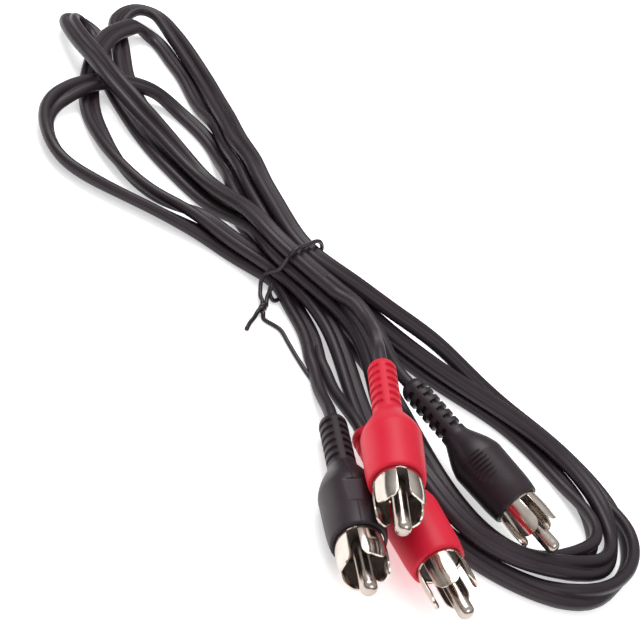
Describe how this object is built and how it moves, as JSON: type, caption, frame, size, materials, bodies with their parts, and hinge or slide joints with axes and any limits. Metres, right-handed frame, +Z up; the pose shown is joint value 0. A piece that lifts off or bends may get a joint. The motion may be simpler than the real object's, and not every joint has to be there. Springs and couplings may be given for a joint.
{
  "type": "rca audio cable",
  "caption": "Flat twin cord folded into a hank under a wire twist tie, each end split into two legs with moulded RCA phono plugs, red and black.",
  "frame": {"origin": "on the surface that the cable lies on, under the middle of the box round the four plugs and the twist tie", "axes": "+Z up, -Y towards the viewer of the picture's front plugs, +X along the hank from the left loops to the right loops"},
  "size_m": [0.2074, 0.1572, 0.0242],
  "materials": {
    "cord_pvc": "satin",
    "red_pvc": "satin",
    "black_pvc": "satin",
    "nickel": "polished",
    "insulator": "matte",
    "copper": "satin",
    "tie_plastic": "satin"
  },
  "bodies": {
    "root": {"cord_upper_end": "cord_pvc", "cord_left_fold": "cord_pvc", "cord_right_middle": "cord_pvc", "cord_left_upper_inner": "cord_pvc", "cord_right_outer": "cord_pvc", "cord_left_upper_outer": "cord_pvc", "cord_right_inner": "cord_pvc", "cord_left_lower": "cord_pvc", "cord_lower_end": "cord_pvc", "front_red_boot": "red_pvc", "front_red_shell": "nickel", "front_red_insulator": "insulator", "front_red_pin": "nickel", "front_red_core": "copper", "front_red_shield": "copper", "front_red_leg": "cord_pvc", "rear_red_boot": "red_pvc", "rear_red_shell": "nickel", "rear_red_insulator": "insulator", "rear_red_pin": "nickel", "rear_red_core": "copper", "rear_red_shield": "copper", "rear_red_leg": "cord_pvc", "left_black_boot": "black_pvc", "left_black_shell": "nickel", "left_black_insulator": "insulator", "left_black_pin": "nickel", "left_black_core": "copper", "left_black_shield": "copper", "left_black_leg": "cord_pvc", "right_black_boot": "black_pvc", "right_black_shell": "nickel", "right_black_insulator": "insulator", "right_black_pin": "nickel", "right_black_core": "copper", "right_black_shield": "copper", "right_black_leg": "cord_pvc", "twist_tie": "tie_plastic"}
  },
  "joints": []
}
